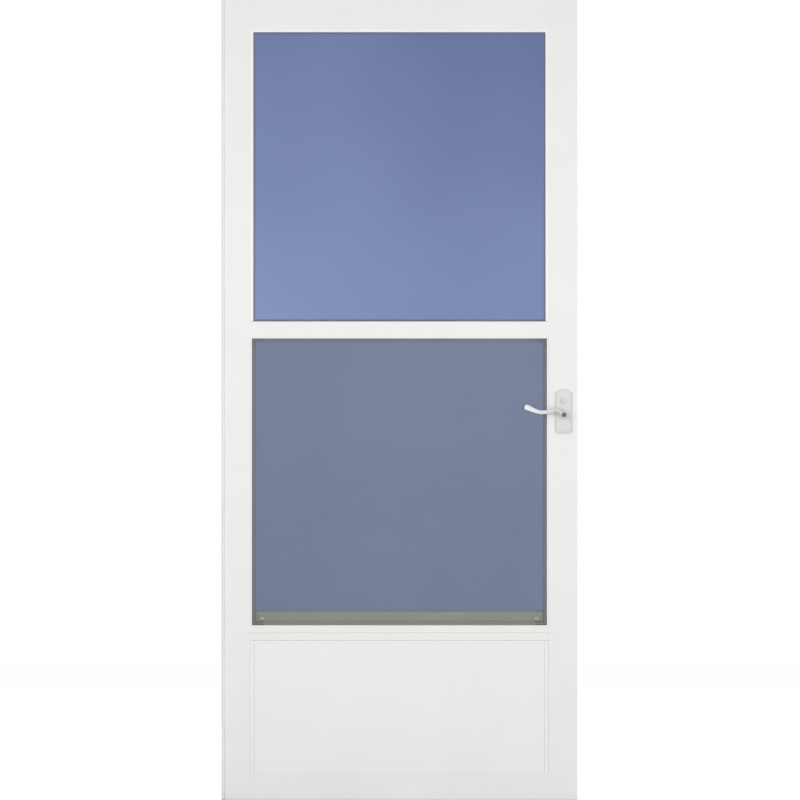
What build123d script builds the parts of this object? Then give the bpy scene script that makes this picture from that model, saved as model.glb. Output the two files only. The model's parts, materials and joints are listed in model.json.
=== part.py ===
"""Storm door: a clad leaf with two lites and a kick panel, hung in its own three rails.

X runs across the doorway from the hinge side, Y runs from outside to inside and Z is up.
The origin is on the outer mounting face of the hinge rail, on its screw line, at the sill.
All sizes are in millimetres.
"""

import os

from build123d import *

os.makedirs("parts", exist_ok=True)

# Overall size of the door in its rails
overall_width = 914.4
overall_height = 2057.4

# Leaf: a solid core with a thin lip that laps the latch rail and the header rail
leaf_front = -28.0
leaf_thickness = 25.4
leaf_back = leaf_front + leaf_thickness
mid_y = (leaf_front + leaf_back) / 2
lip_thickness = 3.5

# Mounting rails: a web against the jamb and a stop flange behind the leaf
rail_wall = 1.6
stop_width = 12.0
stop_gap = 8.1
stop_front = leaf_back + stop_gap
stop_back = stop_front + rail_wall
screw_hole_radius = 2.4
screw_low = 120.0
screw_top_inset = 137.4
screw_high = overall_height - screw_top_inset
screw_count = 6
screw_pitch = (screw_high - screw_low) / (screw_count - 1)
side_screw_heights = [screw_low + index * screw_pitch for index in range(screw_count)]
header_screw_inset = 160.0
header_web = overall_height - rail_wall

# The core stands clear of the rails, and the lip stands clear in front of them
lip_back = leaf_front + lip_thickness
side_gap = 5.0
latch_gap = 5.6
core_left = rail_wall + side_gap
core_right = overall_width - rail_wall - latch_gap
core_bottom = 12.0
core_top = overall_height - rail_wall - side_gap
short_rail_front = lip_back + side_gap
stile_width = 66.6
clear_left = core_left + stile_width
clear_right = overall_width - clear_left

# Heights of the rails across the leaf
top_rail_height = 74.2
top_rail_bottom = overall_height - top_rail_height
kick_bottom = 70.2
sill_top = 449.3
sill_height = 39.1
sill_bottom = sill_top - sill_height
meeting_height = 45.3
meeting_drop = 7.0
meeting_middle = (sill_top + top_rail_bottom) / 2 - meeting_drop
meeting_bottom = meeting_middle - meeting_height / 2
meeting_top = meeting_middle + meeting_height / 2

# Glazing: bead widths, two insert planes and the tracks that hold them
upper_bead = 8.6
lower_bead = 4.8
bead_round = 1.5
track_wall = 1.0
track_fin = 1.6
fin_reach = 6.0
insert_thickness = 8.0
insert_play = 1.0
seat_depth = 8.0
outer_plane_back = lip_back + insert_thickness
inner_plane_front = outer_plane_back + track_fin
inner_plane_back = inner_plane_front + insert_thickness
track_back = inner_plane_back + track_fin
insert_left = clear_left + track_wall
insert_right = clear_right - track_wall
glass_thickness = 3.2
glass_bite = 2.0
upper_gasket_width = 4.0
lower_gasket_width = 2.8
gasket_depth = 5.2
screen_sight = 8.0
screen_cloth = 0.6
cloth_setback = 3.0
lower_stile_width = 9.0
lower_sash_rail = 20.0
lower_sash_lap = 17.0
lower_sash_sight = 34.2
sash_bottom_top = sill_top + lower_sash_sight

# Continuous hinge in front of the leaf face, with its knuckles from sill to header
knuckle_radius = 3.0
hinge_axis_x = (rail_wall + core_left) / 2
hinge_reach = 3.4
hinge_axis_y = leaf_front - hinge_reach
pin_bore_radius = 1.5
pin_radius = 1.45
knuckle_count = 11
knuckle_gap = 0.4
hinge_bottom = 4.0
hinge_top_inset = 3.0
hinge_top = overall_height - hinge_top_inset
hinge_leaf_wall = 1.2
hinge_leaf_depth = 19.6
hinge_leaf_front = leaf_front + knuckle_gap
hinge_leaf_back = hinge_leaf_front + hinge_leaf_depth
tab_setback = 1.4
pin_head = 1.5

# Lever set and lock
handle_inset = 35.1
handle_x = overall_width - handle_inset
handle_z = 990.6
plate_thickness = 9.0
plate_width = 41.0
inner_plate_width = 36.0
plate_drop = 49.3
plate_rise = 65.1
plate_bottom = handle_z - plate_drop
plate_top = handle_z + plate_rise
plate_arch = 9.0
plate_corner = 6.0
plate_bevel = 2.4
plate_slope = 11.0
plate_edge = 3.0
lock_rise = 38.1
lock_z = handle_z + lock_rise
lock_radius = 9.0
lock_bevel = 1.2
neck_radius = 8.0
neck_clearance = 0.3
neck_end = 2.0
hub_radius = 9.5
arm_clearance = 25.0
arm_back = leaf_front - arm_clearance
arm_depth = 10.0
arm_bevel = 2.0
hub_bevel = 1.2
hub_proud = 2.0
hub_seat = 3.0
hub_front = arm_back - arm_depth - hub_proud
hub_back = arm_back + hub_seat
spindle_side = 8.0
stile_bore_radius = 8.0


def block(x_low, x_high, y_low, y_high, z_low, z_high, mode=Mode.ADD):
    """Adds to, or cuts from, the part being built a block between two corners."""
    with Locations(((x_low + x_high) / 2, (y_low + y_high) / 2, (z_low + z_high) / 2)):
        Box(x_high - x_low, y_high - y_low, z_high - z_low, mode=mode)


def bar_on_x(x, y, z, radius, length, mode=Mode.ADD):
    """Adds or cuts a round bar that lies along X."""
    with Locations(Location((x, y, z), (0, 90, 0))):
        Cylinder(radius, length, mode=mode)


def bar_on_y(x, y_low, y_high, z, radius, mode=Mode.ADD):
    """Adds or cuts a round bar that lies along Y."""
    with Locations(Location((x, (y_low + y_high) / 2, z), (90, 0, 0))):
        Cylinder(radius, y_high - y_low, mode=mode)


# Hinge rail
with BuildPart() as hinge_rail:
    block(0, rail_wall, leaf_front, stop_back, 0, overall_height)
    block(rail_wall, stop_width, stop_front, stop_back, 0, header_web)
    for height in side_screw_heights:
        bar_on_x(rail_wall / 2, 0, height, screw_hole_radius, 3 * rail_wall, Mode.SUBTRACT)
hinge_rail.part.label = "hinge_rail"
export_step(hinge_rail.part, "parts/hinge_rail.step")

# Latch rail, with the opening that takes the strike plate
latch_web = overall_width - rail_wall
strike_width = 18.0
strike_height = 72.0
strike_shift = 5.0
strike_front = mid_y - strike_width / 2 + strike_shift
strike_back = strike_front + strike_width
strike_low = handle_z - strike_height / 2
strike_high = handle_z + strike_height / 2
with BuildPart() as latch_rail:
    block(latch_web, overall_width, short_rail_front, stop_back, 0, overall_height)
    block(overall_width - stop_width, latch_web, stop_front, stop_back, 0, header_web)
    block(latch_web, overall_width, strike_front, strike_back, strike_low, strike_high, Mode.SUBTRACT)
    for height in side_screw_heights:
        bar_on_x(overall_width - rail_wall / 2, 0, height, screw_hole_radius, 3 * rail_wall, Mode.SUBTRACT)
latch_rail.part.label = "latch_rail"
export_step(latch_rail.part, "parts/latch_rail.step")

# Header rail between the two side rails
with BuildPart() as header_rail:
    block(rail_wall, latch_web, short_rail_front, stop_back, header_web, overall_height)
    block(stop_width, overall_width - stop_width, stop_front, stop_back, overall_height - stop_width, header_web)
    for screw_x in (header_screw_inset, overall_width - header_screw_inset):
        with Locations((screw_x, 0, overall_height - rail_wall / 2)):
            Cylinder(screw_hole_radius, 3 * rail_wall, mode=Mode.SUBTRACT)
header_rail.part.label = "header_rail"
export_step(header_rail.part, "parts/header_rail.step")

# Bulb seals on the front of the stop flanges, with a round nose towards the leaf
bulb_width = 5.0
bulb_gap = 0.5
bulb_front = leaf_back + bulb_gap
bulb_nose = bulb_front + bulb_width / 2
side_bulb_inset = 6.9
seal_bottom = 28.0
side_seal_top = overall_height - stop_width
with BuildPart() as hinge_seal:
    with BuildSketch(Plane.XY.offset(seal_bottom)):
        with BuildLine():
            Line((side_bulb_inset, bulb_nose), (side_bulb_inset, stop_front))
            Line((side_bulb_inset, stop_front), (side_bulb_inset + bulb_width, stop_front))
            Line((side_bulb_inset + bulb_width, stop_front), (side_bulb_inset + bulb_width, bulb_nose))
            ThreePointArc(
                (side_bulb_inset + bulb_width, bulb_nose),
                (side_bulb_inset + bulb_width / 2, bulb_front),
                (side_bulb_inset, bulb_nose),
            )
        make_face()
    extrude(amount=side_seal_top - seal_bottom)
hinge_seal.part.label = "hinge_seal"
export_step(hinge_seal.part, "parts/hinge_seal.step")

with BuildPart() as latch_seal:
    add(hinge_seal.part.mirror(Plane.YZ.offset(overall_width / 2)))
latch_seal.part.label = "latch_seal"
export_step(latch_seal.part, "parts/latch_seal.step")

# The header bulb lies between the tops of the side bulbs and the flange edge
seal_joint = 0.2
header_bulb_low = side_seal_top + seal_joint
header_bulb_high = header_bulb_low + bulb_width
with BuildPart() as header_seal:
    with BuildSketch(Plane.YZ.offset(side_bulb_inset)):
        with BuildLine():
            Line((bulb_nose, header_bulb_low), (stop_front, header_bulb_low))
            Line((stop_front, header_bulb_low), (stop_front, header_bulb_high))
            Line((stop_front, header_bulb_high), (bulb_nose, header_bulb_high))
            ThreePointArc(
                (bulb_nose, header_bulb_high),
                (bulb_front, (header_bulb_low + header_bulb_high) / 2),
                (bulb_nose, header_bulb_low),
            )
        make_face()
    extrude(amount=overall_width - 2 * side_bulb_inset)
header_seal.part.label = "header_seal"
export_step(header_seal.part, "parts/header_seal.step")

# Strike plate, flush in the web of the latch rail, with its mouth for the bolt
bolt_height = 12.0
bolt_width = 9.0
mouth_play_y = 0.6
mouth_play_z = 1.5
with BuildPart() as strike_plate:
    block(latch_web, overall_width, strike_front, strike_back, strike_low, strike_high)
    block(
        latch_web - rail_wall,
        overall_width + rail_wall,
        mid_y - bolt_width / 2 - mouth_play_y,
        mid_y + bolt_width / 2 + mouth_play_y,
        handle_z - bolt_height / 2 - mouth_play_z,
        handle_z + bolt_height / 2 + mouth_play_z,
        Mode.SUBTRACT,
    )
strike_plate.part.label = "strike_plate"
export_step(strike_plate.part, "parts/strike_plate.step")

# Continuous hinge: knuckles in turn on the rail's strip and on the leaf's strip
knuckle_pitch = (hinge_top - hinge_bottom) / knuckle_count
tab_front = hinge_axis_y + tab_setback


def hinge_strip(x_low, x_high, first_knuckle):
    """Builds one strip of the hinge, as tall as the core, with every second knuckle on it."""
    block(x_low, x_high, hinge_leaf_front, hinge_leaf_back, core_bottom, core_top)
    for index in range(first_knuckle, knuckle_count, 2):
        low = hinge_bottom + index * knuckle_pitch + knuckle_gap / 2
        high = low + knuckle_pitch - knuckle_gap
        block(x_low, x_high, tab_front, hinge_leaf_front, low, high)
        with Locations((hinge_axis_x, hinge_axis_y, (low + high) / 2)):
            Cylinder(knuckle_radius, high - low)
    with Locations((hinge_axis_x, hinge_axis_y, (hinge_bottom + hinge_top) / 2)):
        Cylinder(pin_bore_radius, hinge_top - hinge_bottom + 2, mode=Mode.SUBTRACT)


with BuildPart() as hinge_frame_leaf:
    hinge_strip(rail_wall, rail_wall + hinge_leaf_wall, 0)
hinge_frame_leaf.part.label = "hinge_frame_leaf"
export_step(hinge_frame_leaf.part, "parts/hinge_frame_leaf.step")

with BuildPart() as hinge_door_leaf:
    hinge_strip(core_left - hinge_leaf_wall, core_left, 1)
hinge_door_leaf.part.label = "hinge_door_leaf"
export_step(hinge_door_leaf.part, "parts/hinge_door_leaf.step")

# Hinge pin with a head at each end, on the first and last knuckles
pin_low = hinge_bottom + knuckle_gap / 2
pin_high = hinge_top - knuckle_gap / 2
with BuildPart() as hinge_pin:
    with Locations((hinge_axis_x, hinge_axis_y, (pin_low + pin_high) / 2)):
        Cylinder(pin_radius, pin_high - pin_low)
    for head_z in (pin_low - pin_head / 2, pin_high + pin_head / 2):
        with Locations((hinge_axis_x, hinge_axis_y, head_z)):
            Cylinder(knuckle_radius - knuckle_gap / 2, pin_head)
hinge_pin.part.label = "hinge_pin"
export_step(hinge_pin.part, "parts/hinge_pin.step")

# Stiles: full height, with the top lip over the header rail
with BuildPart() as hinge_stile:
    block(core_left, clear_left, leaf_front, leaf_back, core_bottom, core_top)
    block(core_left, clear_left, leaf_front, lip_back, core_top, overall_height)
hinge_stile.part.label = "hinge_stile"
export_step(hinge_stile.part, "parts/hinge_stile.step")

face_thickness = 2.0
face_width = 15.4
face_height = 62.0
face_front = mid_y - face_width / 2
face_back = mid_y + face_width / 2
bolt_length = 15.0
pocket_left = core_right - face_thickness - bolt_length
with BuildPart() as latch_stile:
    block(clear_right, core_right, leaf_front, leaf_back, core_bottom, core_top)
    block(clear_right, overall_width, leaf_front, lip_back, core_top, overall_height)
    block(core_right, overall_width, leaf_front, lip_back, core_bottom, core_top)
    bar_on_y(handle_x, leaf_front - 1, leaf_back + 1, handle_z, stile_bore_radius, Mode.SUBTRACT)
    block(
        core_right - face_thickness,
        core_right,
        face_front,
        face_back,
        handle_z - face_height / 2,
        handle_z + face_height / 2,
        Mode.SUBTRACT,
    )
    block(
        pocket_left,
        core_right,
        mid_y - bolt_width / 2,
        mid_y + bolt_width / 2,
        handle_z - bolt_height / 2,
        handle_z + bolt_height / 2,
        Mode.SUBTRACT,
    )
latch_stile.part.label = "latch_stile"
export_step(latch_stile.part, "parts/latch_stile.step")

# Top rail with the lip over the header rail
with BuildPart() as top_rail:
    block(clear_left, clear_right, leaf_front, leaf_back, top_rail_bottom, core_top)
    block(clear_left, clear_right, leaf_front, lip_back, core_top, overall_height)
top_rail.part.label = "top_rail"
export_step(top_rail.part, "parts/top_rail.step")

# Meeting rail: a face plate with bevelled edges and a narrower bar behind it
meeting_bevel = 2.2
meeting_bar_low = meeting_bottom + seat_depth
meeting_bar_high = meeting_top - seat_depth
with BuildPart() as meeting_rail:
    block(clear_left, clear_right, leaf_front, lip_back, meeting_bottom, meeting_top)
    front_edges = meeting_rail.edges().filter_by(Axis.X).group_by(Axis.Y)[0]
    chamfer(front_edges, meeting_bevel)
    block(insert_left, insert_right, lip_back, outer_plane_back, meeting_bar_low, meeting_bar_high)
meeting_rail.part.label = "meeting_rail"
export_step(meeting_rail.part, "parts/meeting_rail.step")

# Sill rail: a seat for the inserts behind its lip, a groove and rounded edges in front
groove_drop = 20.0
groove_z = sill_top - groove_drop
groove_width = 2.6
groove_depth = 1.6
with BuildPart() as sill_rail:
    block(clear_left, clear_right, leaf_front, leaf_back, sill_bottom, sill_top)
    front_edges = sill_rail.edges().filter_by(Axis.X).group_by(Axis.Y)[0]
    fillet(front_edges, bead_round)
    block(
        clear_left, clear_right, lip_back, track_back, sill_top - seat_depth, sill_top + 1, Mode.SUBTRACT
    )
    block(
        clear_left - 1,
        clear_right + 1,
        leaf_front - 1,
        leaf_front + groove_depth,
        groove_z - groove_width / 2,
        groove_z + groove_width / 2,
        Mode.SUBTRACT,
    )
sill_rail.part.label = "sill_rail"
export_step(sill_rail.part, "parts/sill_rail.step")

# Bottom rail
with BuildPart() as bottom_rail:
    block(clear_left, clear_right, leaf_front, leaf_back, core_bottom, kick_bottom)
bottom_rail.part.label = "bottom_rail"
export_step(bottom_rail.part, "parts/bottom_rail.step")

# Kick panel: a board with a raised field, which leaves a shadow groove at the sides and top
kick_setback = 1.0
kick_field_depth = 3.0
kick_inner_setback = 3.0
kick_field_front = leaf_front + kick_setback
kick_board_front = kick_field_front + kick_field_depth
kick_board_back = leaf_back - kick_inner_setback
kick_bevel = 2.8
kick_groove = 8.9
kick_top_groove = 6.0
with BuildPart() as kick_panel:
    block(
        clear_left + kick_groove,
        clear_right - kick_groove,
        kick_field_front,
        kick_board_front,
        kick_bottom,
        sill_bottom - kick_top_groove,
    )
    field_edges = kick_panel.edges().group_by(Axis.Y)[0]
    raised_edges = field_edges.filter_by(Axis.Z) + field_edges.filter_by(Axis.X).sort_by(Axis.Z)[-1:]
    chamfer(raised_edges, kick_bevel)
    block(clear_left, clear_right, kick_board_front, kick_board_back, kick_bottom, sill_bottom)
kick_panel.part.label = "kick_panel"
export_step(kick_panel.part, "parts/kick_panel.step")

# Bottom expander: a channel over the foot of the leaf, whose front also crosses the lip
expander_wall = 1.2
expander_low = 3.0
expander_high = 22.0
expander_inset = 1.0
expander_left = core_left + expander_inset
expander_right = core_right - expander_inset
with BuildPart() as bottom_expander:
    block(
        expander_left,
        expander_right,
        leaf_front - expander_wall,
        leaf_back + expander_wall,
        expander_low,
        expander_high,
    )
    block(
        expander_left - 1,
        expander_right + 1,
        leaf_front,
        leaf_back,
        expander_low + expander_wall,
        expander_high + 1,
        Mode.SUBTRACT,
    )
    block(
        expander_right,
        overall_width - expander_inset,
        leaf_front - expander_wall,
        leaf_front,
        expander_low,
        expander_high,
    )
bottom_expander.part.label = "bottom_expander"
export_step(bottom_expander.part, "parts/bottom_expander.step")

# Sweep: two vinyl fins under the expander, in line with the faces of the leaf
sweep_low = 0.8
sweep_wall = 1.6
with BuildPart() as sweep_fins:
    for fin_y in (leaf_front, leaf_back):
        block(
            expander_left,
            expander_right,
            fin_y - sweep_wall / 2,
            fin_y + sweep_wall / 2,
            sweep_low,
            expander_low,
        )
sweep_fins.part.label = "sweep_fins"
export_step(sweep_fins.part, "parts/sweep_fins.step")


def side_beads(width, z_low, z_high):
    """Builds the pair of upright beads beside the stiles."""
    block(clear_left, clear_left + width, leaf_front, lip_back, z_low, z_high)
    block(clear_right - width, clear_right, leaf_front, lip_back, z_low, z_high)


# Glazing beads around the upper and the lower lite
bead_top_low = top_rail_bottom - upper_bead
with BuildPart() as upper_side_beads:
    side_beads(upper_bead, meeting_top, bead_top_low)
    fillet(upper_side_beads.edges().filter_by(Axis.Z).group_by(Axis.Y)[0], bead_round)
upper_side_beads.part.label = "upper_side_beads"
export_step(upper_side_beads.part, "parts/upper_side_beads.step")

with BuildPart() as upper_top_bead:
    block(clear_left, clear_right, leaf_front, lip_back, bead_top_low, top_rail_bottom)
    fillet(upper_top_bead.edges().filter_by(Axis.X).group_by(Axis.Y)[0], bead_round)
upper_top_bead.part.label = "upper_top_bead"
export_step(upper_top_bead.part, "parts/upper_top_bead.step")

with BuildPart() as lower_side_beads:
    side_beads(lower_bead, sill_top, meeting_bottom)
    fillet(lower_side_beads.edges().filter_by(Axis.Z).group_by(Axis.Y)[0], bead_round)
lower_side_beads.part.label = "lower_side_beads"
export_step(lower_side_beads.part, "parts/lower_side_beads.step")

# Window tracks: a channel with a middle fin and a back fin on the inner edge of each stile
track_low = sill_top - seat_depth
with BuildPart() as window_tracks:
    for base_low, fin_low in (
        (clear_left, clear_left + track_wall),
        (clear_right - track_wall, clear_right - track_wall - fin_reach),
    ):
        block(base_low, base_low + track_wall, lip_back, track_back, track_low, top_rail_bottom)
        block(fin_low, fin_low + fin_reach, outer_plane_back, inner_plane_front, track_low, top_rail_bottom)
        block(fin_low, fin_low + fin_reach, inner_plane_back, track_back, track_low, top_rail_bottom)
window_tracks.part.label = "window_tracks"
export_step(window_tracks.part, "parts/window_tracks.step")

# Upper insert in the outer plane, hidden behind the beads but for its gasket
upper_left = clear_left + upper_bead
upper_right = clear_right - upper_bead
upper_insert_top = top_rail_bottom - insert_play
with BuildPart() as upper_sash_stiles:
    block(insert_left, upper_left, lip_back, outer_plane_back, meeting_bar_high, upper_insert_top)
    block(upper_right, insert_right, lip_back, outer_plane_back, meeting_bar_high, upper_insert_top)
upper_sash_stiles.part.label = "upper_sash_stiles"
export_step(upper_sash_stiles.part, "parts/upper_sash_stiles.step")

with BuildPart() as upper_sash_rails:
    block(upper_left, upper_right, lip_back, outer_plane_back, meeting_bar_high, meeting_top)
    block(upper_left, upper_right, lip_back, outer_plane_back, bead_top_low, upper_insert_top)
upper_sash_rails.part.label = "upper_sash_rails"
export_step(upper_sash_rails.part, "parts/upper_sash_rails.step")


def gasket_ring(x_low, x_high, z_low, z_high, width, plane_y):
    """Builds a gasket frame with the groove that holds the edge of the glass."""
    block(x_low, x_high, plane_y - gasket_depth / 2, plane_y + gasket_depth / 2, z_low, z_high)
    block(
        x_low + width,
        x_high - width,
        plane_y - gasket_depth,
        plane_y + gasket_depth,
        z_low + width,
        z_high - width,
        Mode.SUBTRACT,
    )
    bite = width - glass_bite
    block(
        x_low + bite,
        x_high - bite,
        plane_y - glass_thickness / 2,
        plane_y + glass_thickness / 2,
        z_low + bite,
        z_high - bite,
        Mode.SUBTRACT,
    )


def glass_pane(x_low, x_high, z_low, z_high, width, plane_y):
    """Builds the pane that sits in the groove of its gasket frame."""
    bite = width - glass_bite
    block(
        x_low + bite,
        x_high - bite,
        plane_y - glass_thickness / 2,
        plane_y + glass_thickness / 2,
        z_low + bite,
        z_high - bite,
    )


outer_plane_y = (lip_back + outer_plane_back) / 2
inner_plane_y = (inner_plane_front + inner_plane_back) / 2
with BuildPart() as upper_gasket:
    gasket_ring(upper_left, upper_right, meeting_top, bead_top_low, upper_gasket_width, outer_plane_y)
upper_gasket.part.label = "upper_gasket"
export_step(upper_gasket.part, "parts/upper_gasket.step")

with BuildPart() as upper_glass:
    glass_pane(upper_left, upper_right, meeting_top, bead_top_low, upper_gasket_width, outer_plane_y)
upper_glass.part.label = "upper_glass"
export_step(upper_glass.part, "parts/upper_glass.step")

# Insect screen in the outer plane of the lower lite
lower_left = clear_left + lower_bead
lower_right = clear_right - lower_bead
screen_left = lower_left + screen_sight
screen_right = lower_right - screen_sight
screen_low = sill_top + screen_sight
screen_high = meeting_bottom - screen_sight
screen_insert_top = meeting_bar_low - insert_play
with BuildPart() as screen_stiles:
    block(insert_left, screen_left, lip_back, outer_plane_back, track_low, screen_insert_top)
    block(screen_right, insert_right, lip_back, outer_plane_back, track_low, screen_insert_top)
screen_stiles.part.label = "screen_stiles"
export_step(screen_stiles.part, "parts/screen_stiles.step")

with BuildPart() as screen_rails:
    block(screen_left, screen_right, lip_back, outer_plane_back, track_low, screen_low)
    block(screen_left, screen_right, lip_back, outer_plane_back, screen_high, screen_insert_top)
screen_rails.part.label = "screen_rails"
export_step(screen_rails.part, "parts/screen_rails.step")

cloth_y = lip_back + cloth_setback
with BuildPart() as insect_screen:
    block(
        screen_left,
        screen_right,
        cloth_y - screen_cloth / 2,
        cloth_y + screen_cloth / 2,
        screen_low,
        screen_high,
    )
insect_screen.part.label = "insect_screen"
export_step(insect_screen.part, "parts/insect_screen.step")

# Lower glass insert in the inner plane, with a tall bottom rail
lower_stile_inner = insert_left + lower_stile_width
lower_stile_outer = insert_right - lower_stile_width
lower_insert_top = meeting_bottom + lower_sash_lap
lower_rail_low = lower_insert_top - lower_sash_rail
with BuildPart() as lower_sash_stiles:
    block(insert_left, lower_stile_inner, inner_plane_front, inner_plane_back, track_low, lower_insert_top)
    block(lower_stile_outer, insert_right, inner_plane_front, inner_plane_back, track_low, lower_insert_top)
lower_sash_stiles.part.label = "lower_sash_stiles"
export_step(lower_sash_stiles.part, "parts/lower_sash_stiles.step")

with BuildPart() as lower_sash_top_rail:
    block(
        lower_stile_inner,
        lower_stile_outer,
        inner_plane_front,
        inner_plane_back,
        lower_rail_low,
        lower_insert_top,
    )
lower_sash_top_rail.part.label = "lower_sash_top_rail"
export_step(lower_sash_top_rail.part, "parts/lower_sash_top_rail.step")

with BuildPart() as lower_sash_bottom_rail:
    block(
        lower_stile_inner,
        lower_stile_outer,
        inner_plane_front,
        inner_plane_back,
        track_low,
        sash_bottom_top,
    )
lower_sash_bottom_rail.part.label = "lower_sash_bottom_rail"
export_step(lower_sash_bottom_rail.part, "parts/lower_sash_bottom_rail.step")

with BuildPart() as lower_gasket:
    gasket_ring(
        lower_stile_inner,
        lower_stile_outer,
        sash_bottom_top,
        lower_rail_low,
        lower_gasket_width,
        inner_plane_y,
    )
lower_gasket.part.label = "lower_gasket"
export_step(lower_gasket.part, "parts/lower_gasket.step")

with BuildPart() as lower_glass:
    glass_pane(
        lower_stile_inner,
        lower_stile_outer,
        sash_bottom_top,
        lower_rail_low,
        lower_gasket_width,
        inner_plane_y,
    )
lower_glass.part.label = "lower_glass"
export_step(lower_glass.part, "parts/lower_glass.step")

# Finger latches on the inner face of the lower insert's bottom rail
latch_length = 42.0
latch_height = 14.0
latch_reach = 5.0
latch_inset = 40.0
latch_corner = 3.0
latch_z = (sill_top + sash_bottom_top) / 2
with BuildPart() as sash_latches:
    for latch_x in (lower_stile_inner + latch_inset, lower_stile_outer - latch_inset):
        block(
            latch_x - latch_length / 2,
            latch_x + latch_length / 2,
            inner_plane_back,
            inner_plane_back + latch_reach,
            latch_z - latch_height / 2,
            latch_z + latch_height / 2,
        )
    fillet(sash_latches.edges().filter_by(Axis.Y), latch_corner)
sash_latches.part.label = "sash_latches"
export_step(sash_latches.part, "parts/sash_latches.step")


# Outside plate of the lever set: arched at the top, sloped back at the foot, bored for the neck
bore_radius = neck_radius + neck_clearance
plate_shoulder = plate_top - plate_arch
plate_front = leaf_front - plate_thickness
outer_low_x = handle_x - plate_width / 2
outer_high_x = handle_x + plate_width / 2
with BuildPart() as outer_plate:
    with BuildSketch(Plane.XZ.offset(-leaf_front)) as outer_outline:
        with BuildLine():
            Polyline(
                (outer_low_x, plate_shoulder),
                (outer_low_x, plate_bottom),
                (outer_high_x, plate_bottom),
                (outer_high_x, plate_shoulder),
            )
            ThreePointArc((outer_high_x, plate_shoulder), (handle_x, plate_top), (outer_low_x, plate_shoulder))
        make_face()
        fillet(outer_outline.vertices().group_by(Axis.Y)[0], plate_corner)
    extrude(amount=plate_thickness)
    chamfer(outer_plate.faces().sort_by(Axis.Y)[0].edges(), plate_bevel)
    with BuildSketch(Plane.YZ.offset(outer_low_x)):
        with BuildLine():
            Polyline(
                (plate_front, plate_bottom + plate_slope),
                (plate_front, plate_bottom),
                (leaf_front - plate_edge, plate_bottom),
                close=True,
            )
        make_face()
    extrude(amount=plate_width, mode=Mode.SUBTRACT)
    bar_on_y(handle_x, plate_front - 1, leaf_front + 1, handle_z, bore_radius, Mode.SUBTRACT)
outer_plate.part.label = "outer_plate"
export_step(outer_plate.part, "parts/outer_plate.step")

# Inside plate, narrower so that it passes the latch seal
inner_plate_back = leaf_back + plate_thickness
inner_low_x = handle_x - inner_plate_width / 2
inner_high_x = handle_x + inner_plate_width / 2
with BuildPart() as inner_plate:
    with BuildSketch(Plane.XZ.offset(-leaf_back)) as inner_outline:
        with BuildLine():
            Polyline(
                (inner_low_x, plate_shoulder),
                (inner_low_x, plate_bottom),
                (inner_high_x, plate_bottom),
                (inner_high_x, plate_shoulder),
            )
            ThreePointArc((inner_high_x, plate_shoulder), (handle_x, plate_top), (inner_low_x, plate_shoulder))
        make_face()
        fillet(inner_outline.vertices().group_by(Axis.Y)[0], plate_corner)
    extrude(amount=-plate_thickness)
    chamfer(inner_plate.faces().sort_by(Axis.Y)[-1].edges(), plate_bevel)
    with BuildSketch(Plane.YZ.offset(inner_low_x)):
        with BuildLine():
            Polyline(
                (inner_plate_back, plate_bottom + plate_slope),
                (inner_plate_back, plate_bottom),
                (leaf_back + plate_edge, plate_bottom),
                close=True,
            )
        make_face()
    extrude(amount=inner_plate_width, mode=Mode.SUBTRACT)
    bar_on_y(handle_x, leaf_back - 1, inner_plate_back + 1, handle_z, bore_radius, Mode.SUBTRACT)
inner_plate.part.label = "inner_plate"
export_step(inner_plate.part, "parts/inner_plate.step")

# Key cylinder outside and thumb turn inside
lock_reach = 4.0
with BuildPart() as lock_cylinder:
    bar_on_y(handle_x, plate_front - lock_reach, plate_front, lock_z, lock_radius)
    chamfer(lock_cylinder.faces().sort_by(Axis.Y)[0].edges(), lock_bevel)
lock_cylinder.part.label = "lock_cylinder"
export_step(lock_cylinder.part, "parts/lock_cylinder.step")

turn_radius = 8.0
turn_base = 3.0
turn_reach = 12.0
turn_wall = 4.8
turn_front = inner_plate_back + turn_base
with BuildPart() as thumb_turn:
    bar_on_y(handle_x, inner_plate_back, turn_front, lock_z, turn_radius)
    block(
        handle_x - turn_wall / 2,
        handle_x + turn_wall / 2,
        turn_front,
        turn_front + turn_reach,
        lock_z - turn_radius,
        lock_z + turn_radius,
    )
thumb_turn.part.label = "thumb_turn"
export_step(thumb_turn.part, "parts/thumb_turn.step")

# Latch face in the stile's edge, and the bolt drawn back flush with it
with BuildPart() as latch_faceplate:
    block(
        core_right - face_thickness,
        core_right,
        face_front,
        face_back,
        handle_z - face_height / 2,
        handle_z + face_height / 2,
    )
    block(
        pocket_left,
        core_right + 1,
        mid_y - bolt_width / 2,
        mid_y + bolt_width / 2,
        handle_z - bolt_height / 2,
        handle_z + bolt_height / 2,
        Mode.SUBTRACT,
    )
latch_faceplate.part.label = "latch_faceplate"
export_step(latch_faceplate.part, "parts/latch_faceplate.step")

with BuildPart() as latch_bolt:
    block(
        pocket_left,
        core_right,
        mid_y - bolt_width / 2,
        mid_y + bolt_width / 2,
        handle_z - bolt_height / 2,
        handle_z + bolt_height / 2,
    )
latch_bolt.part.label = "latch_bolt"
export_step(latch_bolt.part, "parts/latch_bolt.step")

# Waved lever: its outline dips behind the crest and swells at the tip, and its front is bevelled
wave_outline = (
    (0, 6.8),
    (-20.6, 19.5),
    (-37.3, 14.2),
    (-57.9, 11.6),
    (-75.9, 16.8),
    (-92.0, 26.4),
    (-102.5, 22.5),
    (-98.0, 12.4),
    (-75.9, 5.4),
    (-57.9, 1.2),
    (-37.3, 3.2),
    (-20.6, 7.4),
    (0, -6.8),
)


def beside_hub(offset):
    """Gives the place, on the lever's plane, of a point measured from the hub."""
    return (handle_x + offset[0], handle_z + offset[1])


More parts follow.
